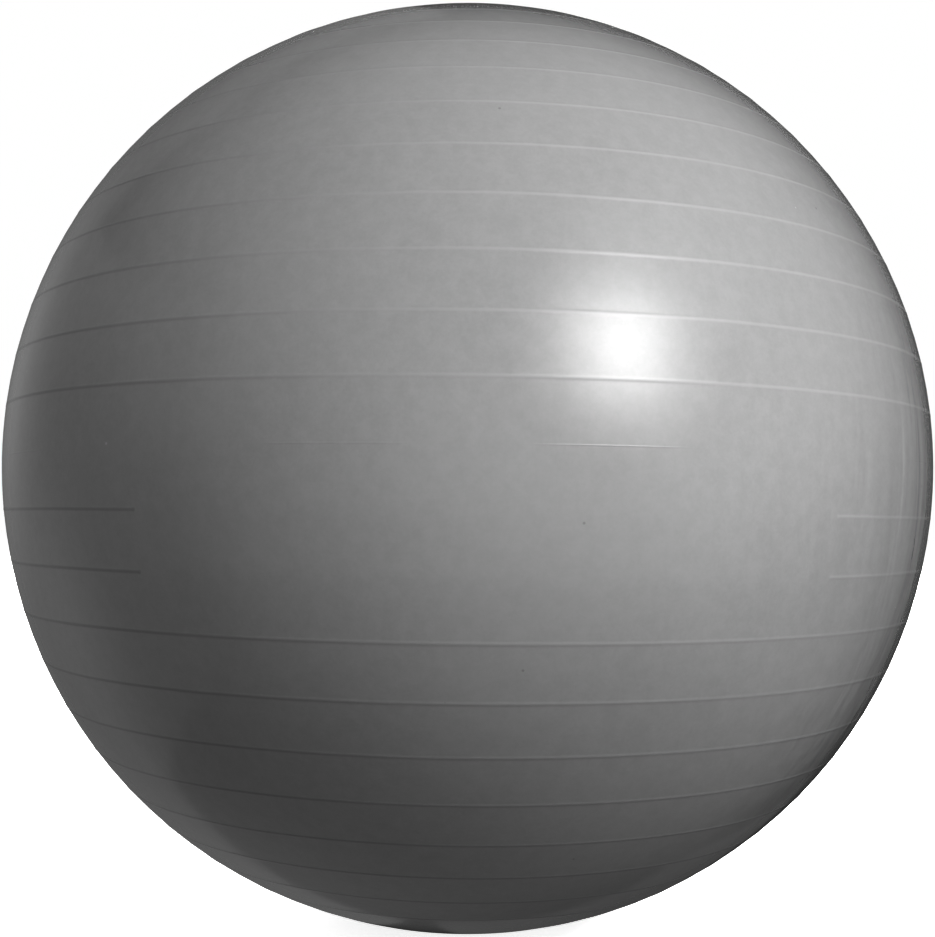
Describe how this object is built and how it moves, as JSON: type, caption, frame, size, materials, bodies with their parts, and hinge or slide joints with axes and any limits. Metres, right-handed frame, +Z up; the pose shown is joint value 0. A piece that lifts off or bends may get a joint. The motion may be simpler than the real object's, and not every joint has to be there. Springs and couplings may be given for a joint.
{
  "type": "exercise ball",
  "caption": "Inflated grey vinyl exercise ball with level raised grip rings, a smooth printing band, a moulded-in valve collar and a push-in air plug that pulls out.",
  "frame": {"origin": "middle of the flattened contact patch under the ball, on the floor", "axes": "+Z up through both poles, so the grip rings are level; -Y towards the front, where the two stopped rings leave the smooth printing band; +Y out along the valve's axis; +X to the right seen from the front"},
  "size_m": [0.65, 0.65, 0.6481],
  "materials": {
    "skin_vinyl": "satin",
    "collar_vinyl": "satin",
    "plug_plastic": "satin"
  },
  "bodies": {
    "ball": {"ball_skin": "skin_vinyl", "valve_collar": "collar_vinyl"},
    "plug": {"air_plug": "plug_plastic"}
  },
  "joints": [
    {"name": "plug_pull", "type": "slide", "parent": "ball", "child": "plug", "axis": [0, 1, 0], "range_m": [0, 0.045]}
  ]
}
